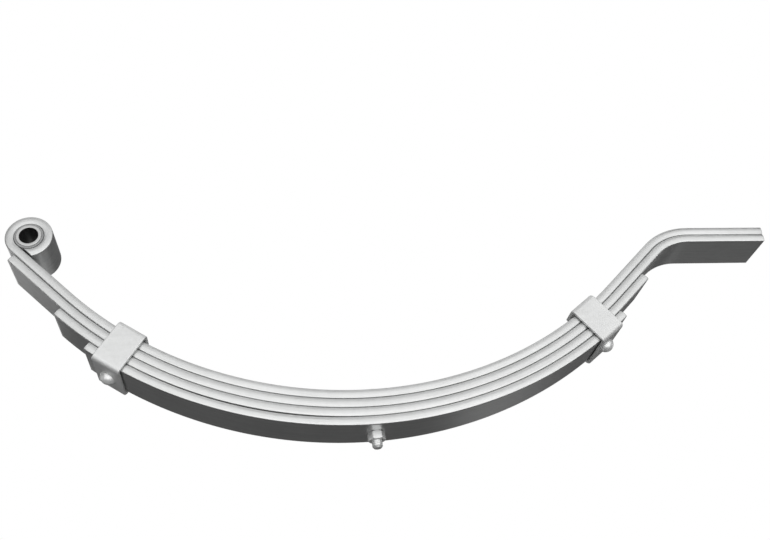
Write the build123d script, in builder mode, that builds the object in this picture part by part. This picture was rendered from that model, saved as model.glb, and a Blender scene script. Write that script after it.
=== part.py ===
"""Four-leaf slipper spring of a light trailer, as a bench assembly of separate pieces.

Millimetres. The frame is the spring as fitted: +X towards the slipper end, +Z up out of the
arch's hollow side, Y across the leaves. The origin is on the centre bolt's axis, mid-width,
on the underside of the shortest leaf.
"""

import os
from math import cos, radians, sin, sqrt, tan

from build123d import *

os.makedirs("parts", exist_ok=True)

# ---- leaf stock -------------------------------------------------------------------------
LEAF_WIDTH = 45.0
LEAF_THICK = 8.0
LEAF_GAP = 0.2
EDGE_ROUND = 1.3
PITCH = LEAF_THICK + LEAF_GAP
PACK_THICK = 4 * LEAF_THICK + 3 * LEAF_GAP

# ---- arch: angles are counted from the centre bolt, negative towards the eye --------------
ARCH_RADIUS = 354.0
EYE_ARM_ANGLE = 46.7
EYE_ARM_STRAIGHT = 71.0
SLIPPER_ARM_ANGLE = 41.2
SLIPPER_ARM_STRAIGHT = 68.0
ARCH_CENTRE = ARCH_RADIUS + PACK_THICK

# ---- slipper end: the two upper leaves bend down to a flat pad ----------------------------
BEND_RADIUS = 50.0
PAD_SLOPE = -2.5
PAD_LENGTH = 79.0

# ---- where the shorter leaves stop ---------------------------------------------------------
SECOND_EYE_STRAIGHT = 65.0
THIRD_EYE_ANGLE = 45.9
THIRD_SLIPPER_STRAIGHT = 37.0
FOURTH_ANGLE = 39.4

# ---- rolled eye and its bush ---------------------------------------------------------------
EYE_RADIUS = 13.0
TIP_GAP = 1.2
LINER_FIT = 0.05
SLEEVE_OUTER = 11.2
SLEEVE_BORE = 8.3
SLEEVE_LENGTH = 46.0
SLEEVE_LEAD = 0.4
LINER_LENGTH = 44.8
LINER_LEAD = 0.6

# ---- rebound clips -------------------------------------------------------------------------
CLIP_ANGLE = 35.6
CLIP_LENGTH = 28.0
CLIP_THICK = 3.0
CLIP_CLEARANCE = 0.5
CLIP_HEADROOM = 2.5
CLIP_CORNER = 1.5
CLIP_MOUTH = 12.0
CLIP_EDGE_ROUND = 0.8
RIVET_RADIUS = 4.0
RIVET_HEAD_RADIUS = 7.5
RIVET_HEAD_HEIGHT = 6.5
RIVET_TAIL_RADIUS = 6.0
RIVET_TAIL_DEPTH = 2.5
RIVET_TAIL_SINK = 0.3
RIVET_TAIL_TAPER = 77.0
RIVET_FIT = 0.1

# ---- centre bolt and nut (3/8 in) -----------------------------------------------------------
BOLT_RADIUS = 4.65
BOLT_HOLE_RADIUS = 5.05
BOLT_HEAD_RADIUS = 8.0
BOLT_HEAD_HEIGHT = 6.0
BOLT_HEAD_LEAD = 1.0
BOLT_SEAT = 0.1
BOLT_END = 13.8
BOLT_POINT = 1.5
NUT_FLATS = 14.3
NUT_HEIGHT = 7.0
NUT_BORE_RADIUS = 4.7
NUT_CORNER_CUT = 1.2


def pack_plane(angle, depth):
    """Plane in the pack: x along the leaves, z towards the hollow side, depth below the top."""
    turn = radians(angle)
    radius = ARCH_RADIUS + depth
    origin = (radius * sin(turn), 0, ARCH_CENTRE - radius * cos(turn))
    return Plane(origin=origin, x_dir=(cos(turn), 0, sin(turn)), z_dir=(-sin(turn), 0, cos(turn)))


def leaf_section(start, heading):
    """Rolled flat bar with rounded edges, square to the route at its start."""
    with BuildSketch(Plane(origin=start, x_dir=(0, 1, 0), z_dir=heading)) as section:
        RectangleRounded(LEAF_WIDTH, LEAF_THICK, EDGE_ROUND)
    return section.sketch


def arch_line(depth, eye_angle, slipper_angle):
    """Arc of the pack, from the eye side to the slipper side."""
    return CenterArc(
        center=(0, ARCH_CENTRE),
        radius=ARCH_RADIUS + depth,
        start_angle=-90 - eye_angle,
        arc_size=eye_angle + slipper_angle,
    )


def slipper_line(arch, depth):
    """Straight arm, bend and flat pad of an upper leaf, carried on from the arch."""
    arm = PolarLine(arch @ 1, SLIPPER_ARM_STRAIGHT, SLIPPER_ARM_ANGLE)
    radius = BEND_RADIUS + 2 * PITCH - LEAF_GAP - depth
    bend = JernArc(arm @ 1, arm % 1, radius, PAD_SLOPE - SLIPPER_ARM_ANGLE)
    PolarLine(bend @ 1, PAD_LENGTH, PAD_SLOPE)


def bolt_hole():
    """Centre bolt hole through whatever leaf is being built."""
    with Locations((0, 0, PACK_THICK + 5)):
        Hole(BOLT_HOLE_RADIUS, depth=PACK_THICK + 10)


# ---- main leaf: rolled eye, arch, slipper ---------------------------------------------------
MAIN_DEPTH = LEAF_THICK / 2
EYE_PLANE = pack_plane(-EYE_ARM_ANGLE, MAIN_DEPTH)
EYE_TANGENT = EYE_PLANE.origin - EYE_PLANE.x_dir * EYE_ARM_STRAIGHT
EYE_CENTRE = EYE_TANGENT + EYE_PLANE.z_dir * (EYE_RADIUS + LEAF_THICK / 2)
TIP_LEVEL = EYE_RADIUS - TIP_GAP
TIP_REACH = sqrt(EYE_RADIUS**2 - TIP_LEVEL**2)
TIP_TURN = 90 - Vector(TIP_REACH, TIP_LEVEL, 0).get_angle(Vector(1, 0, 0))

with BuildPart() as main_leaf:
    with BuildLine(Plane.XZ) as roll:
        JernArc(
            (EYE_TANGENT.X, EYE_TANGENT.Z),
            (-EYE_PLANE.x_dir.X, -EYE_PLANE.x_dir.Z),
            EYE_RADIUS + LEAF_THICK / 2,
            TIP_TURN - 360,
        )
    sweep(leaf_section(roll.line @ 0, roll.line % 0))
    # the roll's tip is dressed off flat, just clear of the arm it closes on
    tip_cut = Plane(EYE_CENTRE - EYE_PLANE.z_dir * TIP_LEVEL, EYE_PLANE.x_dir, EYE_PLANE.z_dir)
    with Locations(tip_cut):
        Box(
            2 * EYE_RADIUS,
            2 * LEAF_WIDTH,
            2 * LEAF_THICK,
            align=(Align.MIN, Align.CENTER, Align.MAX),
            mode=Mode.SUBTRACT,
        )
    with BuildLine(Plane.XZ) as main_route:
        main_arch = arch_line(MAIN_DEPTH, EYE_ARM_ANGLE, SLIPPER_ARM_ANGLE)
        Line((EYE_TANGENT.X, EYE_TANGENT.Z), main_arch @ 0)
        slipper_line(main_arch, MAIN_DEPTH)
    sweep(leaf_section(EYE_TANGENT, EYE_PLANE.x_dir))
    bolt_hole()
main_leaf.part.label = "main_leaf"
export_step(main_leaf.part, "parts/main_leaf.step")

# ---- second leaf: from under the eye to the doubled slipper ----------------------------------
SECOND_DEPTH = MAIN_DEPTH + PITCH

with BuildPart() as second_leaf:
    with BuildLine(Plane.XZ) as second_route:
        second_arch = arch_line(SECOND_DEPTH, EYE_ARM_ANGLE, SLIPPER_ARM_ANGLE)
        PolarLine(second_arch @ 0, SECOND_EYE_STRAIGHT, 180 - EYE_ARM_ANGLE)
        slipper_line(second_arch, SECOND_DEPTH)
    second_wire = second_route.wires()[0]
    sweep(leaf_section(second_wire @ 0, second_wire % 0))
    bolt_hole()
second_leaf.part.label = "second_leaf"
export_step(second_leaf.part, "parts/second_leaf.step")

# ---- third leaf --------------------------------------------------------------------------------
THIRD_DEPTH = SECOND_DEPTH + PITCH

with BuildPart() as third_leaf:
    with BuildLine(Plane.XZ) as third_route:
        third_arch = arch_line(THIRD_DEPTH, THIRD_EYE_ANGLE, SLIPPER_ARM_ANGLE)
        PolarLine(third_arch @ 1, THIRD_SLIPPER_STRAIGHT, SLIPPER_ARM_ANGLE)
    sweep(leaf_section(third_arch @ 0, third_arch % 0))
    bolt_hole()
third_leaf.part.label = "third_leaf"
export_step(third_leaf.part, "parts/third_leaf.step")

# ---- fourth leaf: the shortest, drilled and countersunk for the clip rivets ---------------------
FOURTH_DEPTH = THIRD_DEPTH + PITCH
FOURTH_TOP = FOURTH_DEPTH - LEAF_THICK / 2

with BuildPart() as fourth_leaf:
    with BuildLine(Plane.XZ) as fourth_route:
        fourth_arch = arch_line(FOURTH_DEPTH, FOURTH_ANGLE, FOURTH_ANGLE)
    sweep(leaf_section(fourth_arch @ 0, fourth_arch % 0))
    bolt_hole()
    with Locations(pack_plane(-CLIP_ANGLE, FOURTH_TOP), pack_plane(CLIP_ANGLE, FOURTH_TOP)):
        CounterSinkHole(
            RIVET_RADIUS + RIVET_FIT,
            RIVET_TAIL_RADIUS + RIVET_FIT,
            depth=2 * LEAF_THICK,
            counter_sink_angle=RIVET_TAIL_TAPER,
        )
fourth_leaf.part.label = "fourth_leaf"
export_step(fourth_leaf.part, "parts/fourth_leaf.step")


# ---- rebound clips: a strap under the pack, up both sides, ends folded over the main leaf --------
def clip_band(angle):
    """Strap round the pack at an angle, with its two folded ends apart over the main leaf."""
    middle = pack_plane(angle, (PACK_THICK + CLIP_CLEARANCE - CLIP_HEADROOM) / 2)
    inner_width = LEAF_WIDTH + 2 * CLIP_CLEARANCE
    inner_height = PACK_THICK + CLIP_CLEARANCE + CLIP_HEADROOM
    outer_width = inner_width + 2 * CLIP_THICK
    outer_height = inner_height + 2 * CLIP_THICK
    with BuildPart() as band:
        with BuildSketch(Plane(middle.origin, x_dir=(0, 1, 0), z_dir=middle.x_dir)):
            RectangleRounded(outer_width, outer_height, CLIP_CORNER + CLIP_THICK)
            RectangleRounded(inner_width, inner_height, CLIP_CORNER, mode=Mode.SUBTRACT)
            with Locations((0, inner_height / 2)):
                Rectangle(CLIP_MOUTH, 3 * CLIP_THICK, mode=Mode.SUBTRACT)
        extrude(amount=CLIP_LENGTH / 2, both=True)
        fillet(band.edges().group_by(SortBy.LENGTH)[-1], CLIP_EDGE_ROUND)
        with Locations(pack_plane(angle, PACK_THICK)):
            Hole(RIVET_RADIUS + RIVET_FIT, depth=4 * CLIP_THICK)
    return band.part


# ---- clip rivets: domed head under the strap, countersunk tail in the fourth leaf -----------------
def clip_rivet(angle):
    """Rivet square to the pack at an angle."""
    axis = pack_plane(angle, FOURTH_TOP)
    grip = LEAF_THICK + CLIP_CLEARANCE + CLIP_THICK
    dome = (RIVET_HEAD_RADIUS**2 + RIVET_HEAD_HEIGHT**2) / (2 * RIVET_HEAD_HEIGHT)
    with BuildPart() as rivet:
        with BuildSketch(Plane(axis.origin, x_dir=axis.x_dir, z_dir=(0, -1, 0))):
            with BuildLine():
                Polyline(
                    (0, -grip - RIVET_HEAD_HEIGHT),
                    (0, -RIVET_TAIL_SINK),
                    (RIVET_TAIL_RADIUS - RIVET_TAIL_SINK, -RIVET_TAIL_SINK),
                    (RIVET_RADIUS, -RIVET_TAIL_DEPTH + RIVET_FIT),
                    (RIVET_RADIUS, -grip),
                    (RIVET_HEAD_RADIUS, -grip),
                )
                RadiusArc(
                    (RIVET_HEAD_RADIUS, -grip),
                    (0, -grip - RIVET_HEAD_HEIGHT),
                    dome,
                )
            make_face()
        revolve(axis=Axis(axis.origin, axis.z_dir))
    return rivet.part


for end, side in (("eye", -1), ("slipper", 1)):
    clip = clip_band(side * CLIP_ANGLE)
    clip.label = f"{end}_clip"
    export_step(clip, f"parts/{end}_clip.step")
    rivet = clip_rivet(side * CLIP_ANGLE)
    rivet.label = f"{end}_clip_rivet"
    export_step(rivet, f"parts/{end}_clip_rivet.step")

# ---- bush: polymer liner pressed in the eye, steel sleeve turning in the liner ---------------------
BUSH_PLANE = Plane(EYE_CENTRE, x_dir=(1, 0, 0), z_dir=(0, -1, 0))

with BuildPart() as bush_liner:
    with BuildSketch(BUSH_PLANE):
        Circle(EYE_RADIUS - LINER_FIT)
        Circle(SLEEVE_OUTER + LINER_FIT, mode=Mode.SUBTRACT)
    extrude(amount=LINER_LENGTH / 2, both=True)
    chamfer(bush_liner.edges().filter_by(GeomType.CIRCLE).group_by(SortBy.RADIUS)[-1], LINER_LEAD)
bush_liner.part.label = "bush_liner"
export_step(bush_liner.part, "parts/bush_liner.step")

with BuildPart() as bush_sleeve:
    with BuildSketch(BUSH_PLANE):
        Circle(SLEEVE_OUTER)
        Circle(SLEEVE_BORE, mode=Mode.SUBTRACT)
    extrude(amount=SLEEVE_LENGTH / 2, both=True)
    chamfer(bush_sleeve.edges().filter_by(GeomType.CIRCLE), SLEEVE_LEAD)
bush_sleeve.part.label = "bush_sleeve"
export_step(bush_sleeve.part, "parts/bush_sleeve.step")

# ---- centre bolt: cheese head in the arch's hollow, threaded end below ------------------------------
with BuildPart() as centre_bolt:
    with BuildSketch(Plane.XY.offset(PACK_THICK + BOLT_SEAT)):
        Circle(BOLT_HEAD_RADIUS)
    extrude(amount=BOLT_HEAD_HEIGHT)
    chamfer(centre_bolt.faces().sort_by(Axis.Z)[-1].edges(), BOLT_HEAD_LEAD)
    with BuildSketch(Plane.XY.offset(-BOLT_END)):
        Circle(BOLT_RADIUS)
    extrude(amount=BOLT_END + PACK_THICK + BOLT_SEAT)
    chamfer(centre_bolt.faces().sort_by(Axis.Z)[0].edges(), BOLT_POINT)
centre_bolt.part.label = "centre_bolt"
export_step(centre_bolt.part, "parts/centre_bolt.step")

# ---- centre nut ---------------------------------------------------------------------------------------
NUT_REACH = NUT_FLATS / 2 + NUT_CORNER_CUT
NUT_CUT_DROP = NUT_CORNER_CUT * tan(radians(30))

with BuildPart() as centre_nut:
    with BuildSketch(Plane.XY.offset(-NUT_HEIGHT)):
        RegularPolygon(NUT_FLATS / 2, 6, major_radius=False)
        Circle(NUT_BORE_RADIUS, mode=Mode.SUBTRACT)
    extrude(amount=NUT_HEIGHT)
    # corners turned off at 30 degrees on both faces
    with BuildSketch(Plane.XZ):
        with BuildLine():
            Polyline(
                (0, 0),
                (NUT_FLATS / 2, 0),
                (NUT_REACH, -NUT_CUT_DROP),
                (NUT_REACH, NUT_CUT_DROP - NUT_HEIGHT),
                (NUT_FLATS / 2, -NUT_HEIGHT),
                (0, -NUT_HEIGHT),
                close=True,
            )
        make_face()
    revolve(axis=Axis.Z, mode=Mode.INTERSECT)
centre_nut.part.label = "centre_nut"
export_step(centre_nut.part, "parts/centre_nut.step")
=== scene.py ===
"""Visual model of a four-leaf slipper spring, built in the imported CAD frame.

Blender works in metres. The sizes below are in millimetres, and MM turns them into metres.
+X runs towards the slipper, +Z out of the arch's hollow side, Y across the leaves.
"""

from math import acos, asin, atan2, ceil, cos, pi, radians, sin, tan

import bmesh
import bpy
from mathutils import Matrix, Vector


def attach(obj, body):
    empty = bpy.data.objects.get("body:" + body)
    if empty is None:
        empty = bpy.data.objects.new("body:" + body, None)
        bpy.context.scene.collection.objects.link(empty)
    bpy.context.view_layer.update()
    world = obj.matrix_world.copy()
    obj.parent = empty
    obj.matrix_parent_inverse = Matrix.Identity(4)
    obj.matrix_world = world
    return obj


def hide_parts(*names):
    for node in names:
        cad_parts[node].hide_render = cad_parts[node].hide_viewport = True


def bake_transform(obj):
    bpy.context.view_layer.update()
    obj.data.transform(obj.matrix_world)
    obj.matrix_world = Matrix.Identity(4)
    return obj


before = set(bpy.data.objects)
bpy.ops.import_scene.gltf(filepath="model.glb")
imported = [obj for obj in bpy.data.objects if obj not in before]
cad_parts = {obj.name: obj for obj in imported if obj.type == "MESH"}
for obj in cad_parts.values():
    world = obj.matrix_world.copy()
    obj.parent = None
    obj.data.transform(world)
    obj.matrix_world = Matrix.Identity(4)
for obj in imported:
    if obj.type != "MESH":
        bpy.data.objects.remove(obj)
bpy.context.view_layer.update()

MM = 0.001

# ---- sizes, as in the CAD model ------------------------------------------------------------
LEAF_WIDTH = 45.0
LEAF_THICK = 8.0
LEAF_GAP = 0.2
EDGE_ROUND = 1.3
PITCH = LEAF_THICK + LEAF_GAP
PACK_THICK = 4 * LEAF_THICK + 3 * LEAF_GAP
ARCH_RADIUS = 354.0
ARCH_CENTRE = ARCH_RADIUS + PACK_THICK
EYE_ARM_ANGLE = 46.7
EYE_ARM_STRAIGHT = 71.0
SLIPPER_ARM_ANGLE = 41.2
SLIPPER_ARM_STRAIGHT = 68.0
BEND_RADIUS = 50.0
PAD_SLOPE = -2.5
PAD_LENGTH = 79.0
SECOND_EYE_STRAIGHT = 65.0
THIRD_EYE_ANGLE = 45.9
THIRD_SLIPPER_STRAIGHT = 37.0
FOURTH_ANGLE = 39.4
EYE_RADIUS = 13.0
TIP_GAP = 1.2
LINER_FIT = 0.05
SLEEVE_OUTER = 11.2
SLEEVE_BORE = 8.3
SLEEVE_LENGTH = 46.0
LINER_LENGTH = 44.8
CLIP_ANGLE = 35.6
CLIP_LENGTH = 28.0
CLIP_THICK = 3.0
CLIP_CLEARANCE = 0.5
CLIP_HEADROOM = 2.5
CLIP_CORNER = 1.5
CLIP_MOUTH = 12.0
RIVET_RADIUS = 4.0
RIVET_HEAD_RADIUS = 7.5
RIVET_HEAD_HEIGHT = 6.5
RIVET_TAIL_RADIUS = 6.0
RIVET_TAIL_DEPTH = 2.5
RIVET_TAIL_SINK = 0.3
RIVET_FIT = 0.1
BOLT_RADIUS = 4.65
BOLT_HEAD_RADIUS = 8.0
BOLT_HEAD_HEIGHT = 6.0
BOLT_HEAD_LEAD = 1.0
BOLT_SEAT = 0.1
BOLT_END = 13.8
BOLT_POINT = 1.5
NUT_FLATS = 14.3
NUT_HEIGHT = 7.0
NUT_BORE_RADIUS = 4.7

# ---- detail that only the visual pieces have -----------------------------------------------
EDGE_CROWN = 0.5
END_ROUND = 0.7
EYE_SIDE_SLACK = 0.5
SLACK_ARC = 225.0
LINER_OUTER_EDGE = 0.5
LINER_INNER_EDGE = 0.15
SLEEVE_OUTER_EDGE = 0.45
SLEEVE_BORE_EDGE = 0.4
CLIP_EDGE = 0.9
RIVET_LIP = 0.15
RIVET_LIP_LOW = 0.2
RIVET_LIP_HIGH = 0.45
BOLT_HEAD_EDGE = 0.3
BOLT_CROWN_EDGE = 0.35
BOLT_TOP_CENTRE = 0.5
THREAD_PITCH = 1.59
THREAD_DEPTH = 0.35
THREAD_CREST = 0.16
THREAD_FLANK = 0.66
THREAD_STOP = 1.0
SHANK_START = -0.6
NUT_FACE_TRIM = 0.15
NUT_CORNER_TRIM = 0.35
NUT_CHAMFER_ANGLE = 30
NUT_CHAMFER_LEAST = 0.12
NUT_BREAK_HEIGHT = 0.05
NUT_BREAK_DEPTH = 0.04
NUT_BORE_LEAD = 0.6

# ---- how the meshes are divided ------------------------------------------------------------
STATION = 4.0
CORNER_STEPS = 6
LEAST_ROUND = 0.05
WIDE_FACE_SHARES = (0.985, 0.66, 0.33, 0.0, -0.33, -0.66, -0.985)
SIDE_FACE_SHARES = (0.8, 0.5, 0.0, -0.5, -0.8)
LEAF_END_ANGLES = (0, 0.52, 1.05, pi / 2)
CLIP_END_ANGLES = (pi / 2, 1.0, 0.5, 0)
CLIP_CORNER_STEPS = 8
ROLL_EVEN = 280.0
ROLL_STEPS = 72
TIP_TURN = 35
TIP_STEPS = 10
ROUNDING_STEPS = 4
BUSH_STEPS = 96
RIVET_STEPS = 48
DOME_STEPS = 14
BOLT_STEPS = 72
THREAD_STEP = 0.1
NUT_STEPS = 96
MERGE_DISTANCE = 1e-7

# ---- how far the paint pattern is moved on from leaf to leaf, in leaf depths ---------------
PATTERN_SHIFT = 3


def mesh_object(name, points, faces, smooth_angle=38.0):
    """Object from points in millimetres, smooth except across edges sharper than the angle."""
    mesh = bpy.data.meshes.new(name)
    mesh.from_pydata([(x * MM, y * MM, z * MM) for x, y, z in points], [], faces)
    mesh.validate()
    cleaned = bmesh.new()
    cleaned.from_mesh(mesh)
    bmesh.ops.remove_doubles(cleaned, verts=cleaned.verts, dist=MERGE_DISTANCE)
    bmesh.ops.recalc_face_normals(cleaned, faces=cleaned.faces)
    cleaned.to_mesh(mesh)
    cleaned.free()
    for polygon in mesh.polygons:
        polygon.use_smooth = True
    mesh.set_sharp_from_angle(angle=radians(smooth_angle))
    piece = bpy.data.objects.new(name, mesh)
    bpy.context.scene.collection.objects.link(piece)
    return piece


def rounded_section(width, thick, corner, inset=0.0, crown=0.0):
    """Closed ring of a flat bar's section: (across, up) pairs, the same count for any inset."""
    half_width = width / 2 - inset - crown
    half_thick = thick / 2 - inset
    radius = max(corner - inset, LEAST_ROUND)
    ring = []
    corners = ((1, 1, 0), (-1, 1, 90), (-1, -1, 180), (1, -1, 270))
    for side, up, first in corners:
        centre = (side * (half_width - radius), up * (half_thick - radius))
        for step in range(CORNER_STEPS + 1):
            turn = radians(first + 90 * step / CORNER_STEPS)
            ring.append((centre[0] + radius * cos(turn), centre[1] + radius * sin(turn)))
        # the face that follows this corner: wide after the first and third, narrow after the others
        if first in (0, 180):
            reach = half_width - radius
            for share in WIDE_FACE_SHARES:
                ring.append((side * share * reach, up * half_thick))
        else:
            reach = half_thick - radius
            for share in SIDE_FACE_SHARES:
                bulge = crown * (1 - share * share)
                ring.append((side * (half_width + bulge), up * share * reach))
    return ring


def leaf_section(inset=0.0):
    return rounded_section(LEAF_WIDTH, LEAF_THICK, EDGE_ROUND, inset, EDGE_CROWN)


def rounded_end(rounding, angles):
    """(distance from the end, inset of the section) over a bar's rounded end edge."""
    return [(rounding * (1 - sin(t)), rounding * (1 - cos(t))) for t in angles]


def grid_faces(rows, count):
    """Quads between equal closed rings, and a face on each end."""
    faces = []
    for row in range(rows - 1):
        for k in range(count):
            after = (k + 1) % count
            low, high = row * count, (row + 1) * count
            faces.append((low + k, low + after, high + after, high + k))
    faces.append(tuple(range(count)))
    faces.append(tuple((rows - 1) * count + k for k in range(count)))
    return faces


def lathe_faces(count, size, closed=True):
    """Quads round an axis, between count copies of a profile of size points."""
    faces = []
    for k in range(count):
        here, there = k * size, (k + 1) % count * size
        for j in range(size if closed else size - 1):
            after = (j + 1) % size
            faces.append((here + j, there + j, there + after, here + after))
    return faces


# ---- leaves --------------------------------------------------------------------------------
def walk(depth, segments):
    """Stations of a leaf's mid line from the bolt outwards: (run, across, height, heading)."""
    run, x, z, heading = 0.0, 0.0, ARCH_CENTRE - (ARCH_RADIUS + depth), 0.0
    stations = [(run, x, z, heading)]
    for length, turn in segments:
        count = ceil(length / STATION)
        part, bend = length / count, radians(turn) / count
        chord = 2 * part / bend * sin(bend / 2) if turn else part
        for _ in range(count):
            x += chord * cos(heading + bend / 2)
            z += chord * sin(heading + bend / 2)
            heading += bend
            run += part
            stations.append((run, x, z, heading))
    return stations


def half_leaf(name, side, depth, segments, rolled=False, slack=0.0):
    """Half of a leaf, from the bolt's plane outwards, closed at both ends.

    The slack is how far its upper face bows away from the leaf above, half way to the clip.
    Its "bar" attribute holds each point's place along, across and up the unbent bar.
    """
    stations = walk(depth, segments)
    ends = rounded_end(END_ROUND, LEAF_END_ANGLES)
    section = leaf_section()
    points, along = [], []

    def add_ring(place, ring, run):
        bow = slack * sin(pi * min(run / SLACK_ARC, 1.0))
        for across, up in ring:
            x, z = place(up - bow if up > 0 else up)
            points.append((side * x, across, z))
            along.append((side * run, across, up - depth * PATTERN_SHIFT))

    def straight(station, shift=0.0):
        _, x, z, heading = station

        def place(up):
            return (
                x - shift * cos(heading) - up * sin(heading),
                z - shift * sin(heading) + up * cos(heading),
            )

        return place

    for station in stations if rolled else stations[:-1]:
        add_ring(straight(station), section, station[0])
    run, x, z, heading = stations[-1]
    if rolled:
        # the eye: rolled round its centre, and dressed off flat just clear of the arm
        mid = EYE_RADIUS + LEAF_THICK / 2
        centre = (x - mid * sin(heading), z + mid * cos(heading))
        level = EYE_RADIUS - TIP_GAP

        def on_roll(turn_of):
            def place(up):
                turn = heading + turn_of(mid - up)
                return (
                    centre[0] + (mid - up) * sin(turn),
                    centre[1] - (mid - up) * cos(turn),
                )

            return place

        def even_turn(turn):
            return lambda r: turn

        def tip_turn(reach, share):
            # goes over from the even roll to the tip's flat, which lies at the reach
            even = radians(ROLL_EVEN) * (1 - share)
            return lambda r: even + share * (2 * pi - acos(reach / r))

        for k in range(1, ROLL_STEPS + 1):
            turn = radians(ROLL_EVEN * k / ROLL_STEPS)
            add_ring(on_roll(even_turn(turn)), section, run + mid * turn)
        tip = [(level - END_ROUND, 0.0, k / TIP_STEPS) for k in range(1, TIP_STEPS)]
        tip += [(level - back, inset, 1.0) for back, inset in ends]
        for reach, inset, share in tip:
            place = on_roll(tip_turn(reach, share))
            add_ring(place, leaf_section(inset), run + mid * radians(ROLL_EVEN + TIP_TURN * share))
    else:
        for back, inset in ends:
            add_ring(straight(stations[-1], back), leaf_section(inset), run - back)
    piece = mesh_object(name, points, grid_faces(len(points) // len(section), len(section)))
    if len(piece.data.vertices) != len(points):
        raise ValueError(f"{name}: points were merged")
    bar = piece.data.attributes.new("bar", "FLOAT_VECTOR", "POINT")
    bar.data.foreach_set("vector", [v * MM for place in along for v in place])
    return piece


def arc(depth, angle):
    """Segment of the arch: (length, turn)."""
    return ((ARCH_RADIUS + depth) * radians(angle), angle)


def slipper(depth):
    """Arch, straight arm, bend and flat pad of one of the two upper leaves."""
    radius = BEND_RADIUS + 2 * PITCH - LEAF_GAP - depth
    turn = PAD_SLOPE - SLIPPER_ARM_ANGLE
    return [
        arc(depth, SLIPPER_ARM_ANGLE),
        (SLIPPER_ARM_STRAIGHT, 0),
        (radius * radians(-turn), turn),
        (PAD_LENGTH, 0),
    ]


MAIN_DEPTH = LEAF_THICK / 2
DEPTHS = {}
for index, leaf in enumerate(("main", "second", "third", "fourth")):
    DEPTHS[leaf] = MAIN_DEPTH + index * PITCH
EYE_SEGMENTS = {
    "main": [arc(DEPTHS["main"], EYE_ARM_ANGLE), (EYE_ARM_STRAIGHT, 0)],
    "second": [arc(DEPTHS["second"], EYE_ARM_ANGLE), (SECOND_EYE_STRAIGHT, 0)],
    "third": [arc(DEPTHS["third"], THIRD_EYE_ANGLE)],
    "fourth": [arc(DEPTHS["fourth"], FOURTH_ANGLE)],
}
SLIPPER_SEGMENTS = {
    "main": slipper(DEPTHS["main"]),
    "second": slipper(DEPTHS["second"]),
    "third": [arc(DEPTHS["third"], SLIPPER_ARM_ANGLE), (THIRD_SLIPPER_STRAIGHT, 0)],
    "fourth": [arc(DEPTHS["fourth"], FOURTH_ANGLE)],
}

leaves = []
for leaf, depth in DEPTHS.items():
    for end, side, routes in (("eye", -1, EYE_SEGMENTS), ("slipper", 1, SLIPPER_SEGMENTS)):
        rolled = leaf == "main" and end == "eye"
        slack = EYE_SIDE_SLACK if leaf == "fourth" and end == "eye" else 0.0
        piece = half_leaf(f"{leaf}_leaf_{end}_half", side, depth, routes[leaf], rolled, slack)
        leaves.append((piece, leaf, end, side))


# ---- turned pieces -------------------------------------------------------------------------
def turned(name, profile, count, origin, axis, along=(1, 0, 0), smooth_angle=30.0):
    """Lathe: (radius, height) pairs round an axis, open only where both ends lie on it."""
    up = Vector(axis).normalized()
    out = Vector(along).normalized()
    side = up.cross(out)
    base = Vector(origin)
    points = []
    for k in range(count):
        turn = 2 * pi * k / count
        direction = out * cos(turn) + side * sin(turn)
        points += [tuple(base + direction * r + up * h) for r, h in profile]
    closed = profile[0][0] > 0 or profile[-1][0] > 0
    return mesh_object(name, points, lathe_faces(count, len(profile), closed), smooth_angle)


def rounded_profile(corners):
    """Closed profile with each (radius, height, rounding) corner turned to an arc."""
    result = []
    count = len(corners)
    for k, (r, h, rounding) in enumerate(corners):
        if rounding <= 0:
            result.append((r, h))
            continue
        before = Vector(corners[k - 1][:2])
        after = Vector(corners[(k + 1) % count][:2])
        here = Vector((r, h))
        one = (before - here).normalized()
        two = (after - here).normalized()
        half = acos(max(-1, min(1, one.dot(two)))) / 2
        centre = here + (one + two).normalized() * (rounding / sin(half))
        first = here + one * (rounding / tan(half)) - centre
        last = here + two * (rounding / tan(half)) - centre
        sweep = atan2(first.x * last.y - first.y * last.x, first.dot(last))
        for step in range(ROUNDING_STEPS + 1):
            turn = sweep * step / ROUNDING_STEPS
            across = first.x * cos(turn) - first.y * sin(turn)
            up = first.x * sin(turn) + first.y * cos(turn)
            result.append(tuple(centre + Vector((across, up))))
    return result


def bush_tube(name, outer, outer_edge, inner, inner_edge, length):
    """Tube along Y at the eye's centre, with rounded edges."""
    half = length / 2
    corners = [
        (outer, -half, outer_edge),
        (outer, half, outer_edge),
        (inner, half, inner_edge),
        (inner, -half, inner_edge),
    ]
    return turned(name, rounded_profile(corners), BUSH_STEPS, EYE_CENTRE, (0, -1, 0))


eye_turn = radians(-EYE_ARM_ANGLE)
arm_direction = Vector((cos(eye_turn), 0, sin(eye_turn)))
arm_up = Vector((-sin(eye_turn), 0, cos(eye_turn)))
mid_radius = ARCH_RADIUS + MAIN_DEPTH
arm_start = Vector((mid_radius * sin(eye_turn), 0, ARCH_CENTRE - mid_radius * cos(eye_turn)))
eye_tangent = arm_start - arm_direction * EYE_ARM_STRAIGHT
EYE_CENTRE = eye_tangent + arm_up * (EYE_RADIUS + LEAF_THICK / 2)

bush_liner = bush_tube(
    "bush_liner_ring",
    EYE_RADIUS - LINER_FIT,
    LINER_OUTER_EDGE,
    SLEEVE_OUTER + LINER_FIT,
    LINER_INNER_EDGE,
    LINER_LENGTH,
)
bush_sleeve = bush_tube(
    "bush_sleeve_tube",
    SLEEVE_OUTER,
    SLEEVE_OUTER_EDGE,
    SLEEVE_BORE,
    SLEEVE_BORE_EDGE,
    SLEEVE_LENGTH,
)


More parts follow.
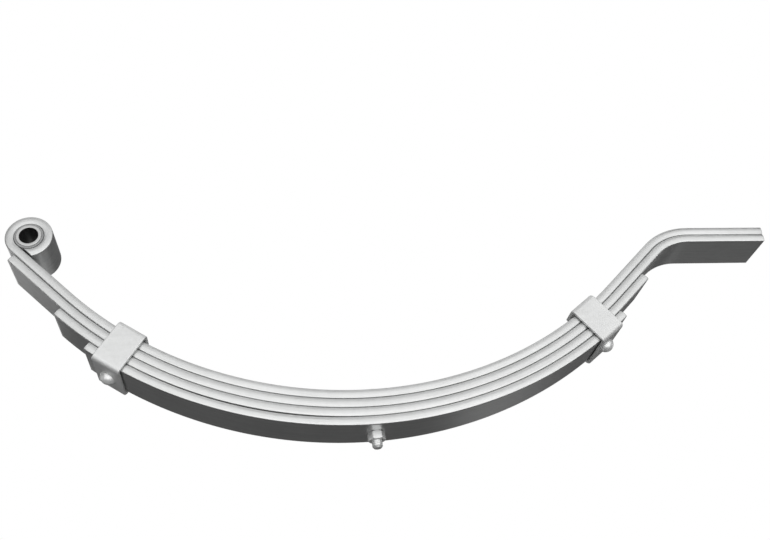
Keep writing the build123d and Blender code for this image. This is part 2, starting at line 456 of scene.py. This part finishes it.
# ---- clips and rivets ----------------------------------------------------------------------
def pack_frame(angle, depth):
    """Matrix in the pack: x along the leaves, z towards the hollow side. Millimetres."""
    turn = radians(angle)
    radius = ARCH_RADIUS + depth
    frame_matrix = Matrix.Rotation(-turn, 4, "Y")
    frame_matrix.translation = (radius * sin(turn), 0, ARCH_CENTRE - radius * cos(turn))
    return frame_matrix


def strap_route():
    """Strap's mid line round the pack, from one end over the main leaf to the other.

    Each spot is (across, up, heading), counted from the middle of the strap's loop.
    """
    half_width = LEAF_WIDTH / 2 + CLIP_CLEARANCE + CLIP_THICK / 2
    half_height = (PACK_THICK + CLIP_CLEARANCE + CLIP_HEADROOM + CLIP_THICK) / 2
    radius = CLIP_CORNER + CLIP_THICK / 2
    flat_x, flat_z = half_width - radius, half_height - radius
    mouth = CLIP_MOUTH / 2
    route = []

    def run_to(start, finish, count):
        across, up = finish[0] - start[0], finish[1] - start[1]
        for k in range(count):
            share = k / count
            route.append((start[0] + across * share, start[1] + up * share, atan2(up, across)))

    def turn_about(x, z, first):
        for k in range(CLIP_CORNER_STEPS):
            turn = radians(first + 90 * k / CLIP_CORNER_STEPS)
            route.append((x + radius * cos(turn), z + radius * sin(turn), turn + pi / 2))

    run_to((-mouth, half_height), (-flat_x, half_height), count=4)
    turn_about(-flat_x, flat_z, 90)
    run_to((-half_width, flat_z), (-half_width, -flat_z), count=6)
    turn_about(-flat_x, -flat_z, 180)
    run_to((-flat_x, -half_height), (flat_x, -half_height), count=10)
    turn_about(flat_x, -flat_z, 270)
    run_to((half_width, -flat_z), (half_width, flat_z), count=6)
    turn_about(flat_x, flat_z, 0)
    run_to((flat_x, half_height), (mouth, half_height), count=4)
    route.append((mouth, half_height, pi))
    return route


def clip_strap(name, angle):
    """Flat strap bent round the pack, its two ends folded over the main leaf."""
    route = strap_route()
    ends = rounded_end(CLIP_EDGE, CLIP_END_ANGLES)
    stations = [(route[0], back, inset) for back, inset in ends]
    stations += [(spot, 0, 0) for spot in route[1:-1]]
    stations += [(route[-1], -back, inset) for back, inset in reversed(ends)]
    place = pack_frame(angle, (PACK_THICK + CLIP_CLEARANCE - CLIP_HEADROOM) / 2)
    points = []
    for (y, z, heading), shift, inset in stations:
        ring = rounded_section(CLIP_LENGTH, CLIP_THICK, CLIP_EDGE, inset)
        for across, up in ring:
            spot_y = y + shift * cos(heading) - up * sin(heading)
            spot_z = z + shift * sin(heading) + up * cos(heading)
            points.append(tuple(place @ Vector((across, spot_y, spot_z))))
    return mesh_object(name, points, grid_faces(len(stations), len(ring)))


def rivet(name, angle):
    """Domed head under the strap, shank, and a countersunk tail just inside the fourth leaf."""
    grip = LEAF_THICK + CLIP_CLEARANCE + CLIP_THICK
    crown = -grip - RIVET_HEAD_HEIGHT
    dome = (RIVET_HEAD_RADIUS**2 + RIVET_HEAD_HEIGHT**2) / (2 * RIVET_HEAD_HEIGHT)
    rim_angle = asin(RIVET_HEAD_RADIUS / dome)
    profile = [(0.0, crown)]
    for k in range(1, DOME_STEPS):
        turn = rim_angle * k / DOME_STEPS
        profile.append((dome * sin(turn), crown + dome * (1 - cos(turn))))
    profile += [
        (RIVET_HEAD_RADIUS - RIVET_LIP, -grip - RIVET_LIP_HIGH),
        (RIVET_HEAD_RADIUS, -grip - RIVET_LIP_LOW),
        (RIVET_HEAD_RADIUS - RIVET_LIP, -grip),
        (RIVET_RADIUS, -grip),
        (RIVET_RADIUS, -RIVET_TAIL_DEPTH + RIVET_FIT),
        (RIVET_TAIL_RADIUS - RIVET_TAIL_SINK, -RIVET_TAIL_SINK),
        (0.0, -RIVET_TAIL_SINK),
    ]
    axis = pack_frame(angle, PACK_THICK - LEAF_THICK)
    up = axis.to_3x3() @ Vector((0, 0, 1))
    along = axis.to_3x3() @ Vector((1, 0, 0))
    return turned(name, profile, RIVET_STEPS, axis.translation, up, along, smooth_angle=50.0)


clips, rivets = {}, {}
for end, side in (("eye", -1), ("slipper", 1)):
    clips[end] = clip_strap(f"{end}_clip_strap", side * CLIP_ANGLE)
    rivets[end] = rivet(f"{end}_rivet", side * CLIP_ANGLE)


# ---- centre bolt and nut -------------------------------------------------------------------
def threaded(z, turn):
    """Radius of the rolled thread at a height and angle."""
    place = (z / THREAD_PITCH - turn / (2 * pi)) % 1.0
    slope = abs(2 * place - 1)
    return BOLT_RADIUS - THREAD_DEPTH * min(1.0, max(0.0, (slope - THREAD_CREST) / THREAD_FLANK))


def bolt():
    """Threaded end below the pack, shank through it, and a chamfered head in the arch."""
    turns = [2 * pi * k / BOLT_STEPS for k in range(BOLT_STEPS)]
    rows = []
    for step in range(int((BOLT_END - THREAD_STOP) / THREAD_STEP)):
        z = -BOLT_END + THREAD_STEP * step
        limit = BOLT_RADIUS - max(0.0, BOLT_POINT - (z + BOLT_END))
        rows.append([(min(limit, threaded(z, turn)), z) for turn in turns])
    seat = PACK_THICK + BOLT_SEAT
    top = seat + BOLT_HEAD_HEIGHT
    plain = rounded_profile(
        [
            (BOLT_RADIUS, SHANK_START, 0),
            (BOLT_RADIUS, seat, 0),
            (BOLT_HEAD_RADIUS, seat, BOLT_HEAD_EDGE),
            (BOLT_HEAD_RADIUS, top - BOLT_HEAD_LEAD, BOLT_HEAD_EDGE),
            (BOLT_HEAD_RADIUS - BOLT_HEAD_LEAD, top, BOLT_CROWN_EDGE),
            (BOLT_TOP_CENTRE, top, 0),
        ]
    )
    rows += [[(r, z)] * BOLT_STEPS for r, z in plain]
    points = [(r * cos(t), r * sin(t), z) for row in rows for t, (r, z) in zip(turns, row)]
    return mesh_object("centre_bolt_body", points, grid_faces(len(rows), BOLT_STEPS), 42.0)


def nut():
    """Hexagon nut under the pack, its corners chamfered on both faces."""
    bore = NUT_BORE_RADIUS
    face = NUT_FLATS / 2 - NUT_FACE_TRIM
    corner = NUT_FLATS / 2 / cos(pi / 6) - NUT_CORNER_TRIM
    slope = tan(radians(NUT_CHAMFER_ANGLE))
    points = []
    for k in range(NUT_STEPS):
        turn = 2 * pi * k / NUT_STEPS
        from_flat = turn % (pi / 3) - pi / 6
        outer = min(NUT_FLATS / 2 / cos(from_flat), corner)
        drop = max(NUT_CHAMFER_LEAST, (outer - face) * slope)
        column = [
            (bore, -NUT_BORE_LEAD),
            (bore + NUT_BORE_LEAD, 0.0),
            (face, 0.0),
            (outer - NUT_BREAK_DEPTH, -drop + NUT_BREAK_HEIGHT),
            (outer, -drop - NUT_BREAK_HEIGHT),
            (outer, -NUT_HEIGHT / 2),
            (outer, -NUT_HEIGHT + drop + NUT_BREAK_HEIGHT),
            (outer - NUT_BREAK_DEPTH, -NUT_HEIGHT + drop - NUT_BREAK_HEIGHT),
            (face, -NUT_HEIGHT),
            (bore + NUT_BORE_LEAD, -NUT_HEIGHT),
            (bore, -NUT_HEIGHT + NUT_BORE_LEAD),
        ]
        points += [(r * cos(turn), r * sin(turn), z) for r, z in column]
    return mesh_object("centre_nut_hex", points, lathe_faces(NUT_STEPS, len(column)), 24.0)


centre_bolt = bolt()
centre_nut = nut()


# ---- materials -----------------------------------------------------------------------------
class Nodes:
    """Short calls for wiring one material."""

    def __init__(self, name):
        self.material = bpy.data.materials.new(name)
        self.material.use_nodes = True
        self.tree = self.material.node_tree
        self.shader = next(n for n in self.tree.nodes if n.type == "BSDF_PRINCIPLED")

    def add(self, kind, **settings):
        node = self.tree.nodes.new(kind)
        for key, value in settings.items():
            setattr(node, key, value)
        return node

    def link(self, source, target):
        self.tree.links.new(source, target)

    def coords(self, attribute=None):
        """Place on the piece, from a stored attribute or from the object's own axes."""
        if attribute:
            return self.add("ShaderNodeAttribute", attribute_name=attribute).outputs["Vector"]
        return self.add("ShaderNodeTexCoord").outputs["Object"]

    def stretched(self, coords, scale):
        node = self.add("ShaderNodeMapping")
        node.inputs["Scale"].default_value = scale
        self.link(coords, node.inputs["Vector"])
        return node.outputs["Vector"]

    def noise(self, coords, scale, detail, rough=0.5):
        node = self.add("ShaderNodeTexNoise")
        node.inputs["Scale"].default_value = scale
        node.inputs["Detail"].default_value = detail
        node.inputs["Roughness"].default_value = rough
        self.link(coords, node.inputs["Vector"])
        return node.outputs["Fac"]

    def spread(self, source, low, high, source_low=0.3, source_high=0.7):
        """The source's range, which for noise is about 0.3 to 0.7, turned to low to high."""
        node = self.add("ShaderNodeMapRange")
        node.inputs["From Min"].default_value = source_low
        node.inputs["From Max"].default_value = source_high
        node.inputs["To Min"].default_value = low
        node.inputs["To Max"].default_value = high
        self.link(source, node.inputs["Value"])
        return node.outputs["Result"]

    def math(self, operation, one, two=None):
        """Operation on a socket and a second socket or number."""
        node = self.add("ShaderNodeMath", operation=operation)
        self.link(one, node.inputs[0])
        if isinstance(two, float):
            node.inputs[1].default_value = two
        elif two is not None:
            self.link(two, node.inputs[1])
        return node.outputs[0]

    def grey(self, factor, tone):
        """Colour of a factor times a tone."""
        node = self.add("ShaderNodeMix", data_type="RGBA")
        node.inputs["A"].default_value = (0, 0, 0, 1)
        node.inputs["B"].default_value = (*tone, 1)
        node.clamp_factor = False
        self.link(factor, node.inputs["Factor"])
        return node.outputs["Result"]

    def bump(self, height, distance, strength, before=None):
        """Normal raised by a height, on top of an earlier bump. The distance is in metres."""
        node = self.add("ShaderNodeBump")
        node.inputs["Distance"].default_value = distance
        node.inputs["Strength"].default_value = strength
        self.link(height, node.inputs["Height"])
        if before is not None:
            self.link(before, node.inputs["Normal"])
        return node.outputs["Normal"]


def silver_paint(name, tone, streak, metal=0.85, attribute=None):
    """Sprayed satin aluminium paint over rolled steel: flake, orange peel, faint mill streaks."""
    n = Nodes(name)
    place = n.coords(attribute)
    cloud = n.noise(place, scale=26.0, detail=3.0)
    mottle = n.noise(place, scale=190.0, detail=3.0, rough=0.6)
    flake = n.noise(place, scale=2600.0, detail=1.0)
    lengthwise = n.stretched(place, (14.0, 420.0, 420.0))
    rolled = n.noise(lengthwise, scale=1.0, detail=3.0, rough=0.6)
    peel = n.noise(place, scale=520.0, detail=1.0)
    factor = n.math("ADD", n.spread(cloud, 0.96, 1.03), n.spread(mottle, -0.035, 0.03))
    factor = n.math("ADD", factor, n.spread(flake, -0.015, 0.015))
    factor = n.math("ADD", factor, n.spread(rolled, -0.06 * streak, 0.06 * streak))
    n.link(n.grey(factor, tone), n.shader.inputs["Base Color"])
    rough = n.math("ADD", n.spread(mottle, 0.31, 0.38), n.spread(cloud, -0.02, 0.02))
    n.link(rough, n.shader.inputs["Roughness"])
    n.shader.inputs["Metallic"].default_value = metal
    n.shader.inputs["Specular IOR Level"].default_value = 0.5
    normal = n.bump(rolled, distance=0.00006, strength=streak)
    normal = n.bump(peel, distance=0.00005, strength=0.5, before=normal)
    normal = n.bump(flake, distance=0.00001, strength=0.2, before=normal)
    n.link(normal, n.shader.inputs["Normal"])
    return n.material


def turned_steel(name, tone, centre):
    """Zinc-plated tube with fine turning marks round its axis, and painted shade darkening the
    bore.
    """
    n = Nodes(name)
    place = n.coords()
    split = n.add("ShaderNodeSeparateXYZ")
    n.link(place, split.inputs[0])
    dx = n.math("SUBTRACT", split.outputs["X"], centre[0])
    dz = n.math("SUBTRACT", split.outputs["Z"], centre[2])
    radius = n.math("SQRT", n.math("ADD", n.math("MULTIPLY", dx, dx), n.math("MULTIPLY", dz, dz)))
    join = n.add("ShaderNodeCombineXYZ")
    n.link(radius, join.inputs["X"])
    n.link(split.outputs["Y"], join.inputs["Y"])
    marks = n.noise(join.outputs[0], scale=2400.0, detail=3.0, rough=0.65)
    cloud = n.noise(place, scale=240.0, detail=3.0)
    factor = n.math("ADD", n.spread(cloud, 0.93, 1.03), n.spread(marks, -0.05, 0.05))
    # painted shade: the tone drops to 0.4 inside the bore, standing in for the shade in the hole
    bore_shade_full_to, bore_shade_clear_from = (SLEEVE_BORE + 0.15) * MM, (SLEEVE_BORE + 0.4) * MM
    factor = n.math("MULTIPLY", factor, n.spread(radius, 0.4, 1.0, bore_shade_full_to, bore_shade_clear_from))
    n.link(n.grey(factor, tone), n.shader.inputs["Base Color"])
    n.link(n.spread(marks, 0.3, 0.44), n.shader.inputs["Roughness"])
    n.shader.inputs["Metallic"].default_value = 0.9
    n.link(n.bump(marks, distance=0.00003, strength=0.6), n.shader.inputs["Normal"])
    return n.material


def nylon(name, tone):
    """Matt moulded polyamide with a fine spark-eroded grain."""
    n = Nodes(name)
    place = n.coords()
    grain = n.noise(place, scale=1900.0, detail=3.0, rough=0.6)
    cloud = n.noise(place, scale=120.0, detail=3.0)
    factor = n.math("ADD", n.spread(cloud, 0.9, 1.05), n.spread(grain, -0.05, 0.05))
    n.link(n.grey(factor, tone), n.shader.inputs["Base Color"])
    n.link(n.spread(grain, 0.5, 0.66), n.shader.inputs["Roughness"])
    n.shader.inputs["Specular IOR Level"].default_value = 0.45
    n.link(n.bump(grain, distance=0.00003, strength=0.7), n.shader.inputs["Normal"])
    return n.material


LEAF_SILVER = (0.604, 0.61, 0.607)
CLIP_SILVER = (0.664, 0.67, 0.667)
RIVET_SILVER = (0.784, 0.79, 0.787)
BOLT_SILVER = (0.724, 0.73, 0.727)
ZINC = (0.54, 0.543, 0.54)
# the liner's dark grey is partly its own nylon grey and partly painted shade of the gap between
# bush and eye
LINER_GREY_AND_GAP_SHADE = (0.26, 0.263, 0.263)

leaf_paint = silver_paint("leaf_paint", LEAF_SILVER, streak=1.0, attribute="bar")
clip_paint = silver_paint("clip_paint", CLIP_SILVER, streak=0.4, metal=0.4)
rivet_paint = silver_paint("rivet_paint", RIVET_SILVER, streak=0.0, metal=0.4)
bolt_paint = silver_paint("bolt_paint", BOLT_SILVER, streak=0.2, metal=0.55)
bush_steel = turned_steel("bush_steel", ZINC, EYE_CENTRE * MM)
bush_polymer = nylon("bush_polymer", LINER_GREY_AND_GAP_SHADE)


# ---- pieces into the frame -----------------------------------------------------------------
def finish_piece(piece, material, node, body=None):
    piece.data.materials.append(material)
    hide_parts(node)
    if body:
        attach(piece, body)


for piece, leaf, end, side in leaves:
    finish_piece(piece, leaf_paint, f"{leaf}_leaf")
    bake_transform(piece)
for end in ("eye", "slipper"):
    finish_piece(clips[end], clip_paint, f"{end}_clip", f"{end}_arm")
    finish_piece(rivets[end], rivet_paint, f"{end}_clip_rivet", f"{end}_arm")
finish_piece(centre_bolt, bolt_paint, "centre_bolt", "seat_pack")
finish_piece(centre_nut, bolt_paint, "centre_nut", "seat_pack")
finish_piece(bush_liner, bush_polymer, "bush_liner", "eye_arm")
finish_piece(bush_sleeve, bush_steel, "bush_sleeve", "bush_sleeve")

# ---- floor: an even sheet that shines in its own tone, so no light marks it -----------------
FLOOR_LEVEL = -0.36
FLOOR_REACH = 30.0
FLOOR_TONE = 0.66

bpy.ops.mesh.primitive_plane_add(size=2 * FLOOR_REACH, location=(0, 0, FLOOR_LEVEL))
floor = bpy.context.object
floor.name = "floor"
floor_look = Nodes("floor_paper")
floor_look.shader.inputs["Base Color"].default_value = (0, 0, 0, 1)
floor_look.shader.inputs["Specular IOR Level"].default_value = 0.0
floor_look.shader.inputs["Roughness"].default_value = 1.0
floor_look.shader.inputs["Emission Color"].default_value = (FLOOR_TONE, FLOOR_TONE, FLOOR_TONE, 1)
floor_look.shader.inputs["Emission Strength"].default_value = 1.0
floor.data.materials.append(floor_look.material)
floor.visible_diffuse = False
floor.visible_glossy = False


# ---- lights --------------------------------------------------------------------------------
def soft_light(name, place, aim, width, height, radiance):
    """Rectangular soft box with the same brightness over its face."""
    data = bpy.data.lights.new(name, "AREA")
    data.shape = "RECTANGLE"
    data.size, data.size_y = width, height
    data.energy = radiance * pi * width * height
    light = bpy.data.objects.new(name, data)
    light.location = place
    light.rotation_euler = (Vector(place) - Vector(aim)).to_track_quat("Z", "Y").to_euler()
    light.visible_camera = False
    bpy.context.scene.collection.objects.link(light)


MIDDLE = (0.04, 0.0, 0.1)
EYE_ARM_MIDDLE = (-0.28, 0.0, 0.15)
EYE_UNDERSIDE = (-0.297, 0.0, 0.204)
# name, place, aim, width, height, radiance
LIGHTS = (
    ("key_high", (0.3, -1.95, 1.7), MIDDLE, 7.0, 1.1, 1.0),
    ("key_low", (0.4, -2.4, 0.35), MIDDLE, 7.0, 1.8, 1.35),
    ("front_fill", (0.1, -1.5, -1.15), MIDDLE, 5.0, 1.9, 1.8),
    ("top_box", (0.0, 0.1, 2.6), MIDDLE, 5.0, 3.4, 0.6),
    ("back_left_card", (-1.47, 2.06, 1.21), EYE_ARM_MIDDLE, 1.4, 0.9, 0.85),
    ("back_right_card", (1.3, 2.2, -0.55), MIDDLE, 0.9, 0.7, 0.24),
    ("eye_card", (-0.262, 0.13, 0.125), EYE_UNDERSIDE, 0.08, 0.07, 0.4),
    ("left_side_card", (-2.45, 0.65, -0.07), MIDDLE, 2.0, 0.5, 1.0),
    ("right_side_card", (2.45, 0.65, -0.07), MIDDLE, 2.0, 0.5, 1.0),
)
for settings in LIGHTS:
    soft_light(*settings)

# ---- background: the camera sees the floor's tone fade upwards to white --------------------
FADE_HEIGHT = 0.13
WHITE = 1.0
SURROUND_TONE = 0.105

world = bpy.data.worlds.new("studio")
bpy.context.scene.world = world
world.use_nodes = True
tree = world.node_tree
tree.nodes.clear()
rays = tree.nodes.new("ShaderNodeLightPath")
seen = tree.nodes.new("ShaderNodeBackground")
direction = tree.nodes.new("ShaderNodeTexCoord")
height = tree.nodes.new("ShaderNodeSeparateXYZ")
fade = tree.nodes.new("ShaderNodeMapRange")
fade.interpolation_type = "SMOOTHSTEP"
fade.inputs["From Min"].default_value = 0.0
fade.inputs["From Max"].default_value = FADE_HEIGHT
fade.inputs["To Min"].default_value = FLOOR_TONE
fade.inputs["To Max"].default_value = WHITE
tree.links.new(direction.outputs["Generated"], height.inputs[0])
tree.links.new(height.outputs["Z"], fade.inputs["Value"])
tree.links.new(fade.outputs["Result"], seen.inputs["Color"])
around = tree.nodes.new("ShaderNodeBackground")
around.inputs["Color"].default_value = (SURROUND_TONE, SURROUND_TONE, SURROUND_TONE, 1)
mix = tree.nodes.new("ShaderNodeMixShader")
out = tree.nodes.new("ShaderNodeOutputWorld")
tree.links.new(rays.outputs["Is Camera Ray"], mix.inputs["Fac"])
tree.links.new(around.outputs[0], mix.inputs[1])
tree.links.new(seen.outputs[0], mix.inputs[2])
tree.links.new(mix.outputs[0], out.inputs["Surface"])
bpy.context.scene.view_settings.view_transform = "Standard"

# ---- camera: metres and degrees ------------------------------------------------------------
CAMERA_PLACE = (-0.11247, -0.78343, -0.28697)
CAMERA_TURN = (119.705, 6.888, -6.227)
CAMERA_LENS = 44.679
SENSOR_WIDTH = 36.0

lens = bpy.data.cameras.new("camera")
lens.sensor_width = SENSOR_WIDTH
lens.lens = CAMERA_LENS
lens.clip_start, lens.clip_end = 0.01, 100.0
camera = bpy.data.objects.new("camera", lens)
camera.location = CAMERA_PLACE
camera.rotation_euler = [radians(turn) for turn in CAMERA_TURN]
bpy.context.scene.collection.objects.link(camera)
bpy.context.scene.camera = camera

bpy.context.view_layer.update()
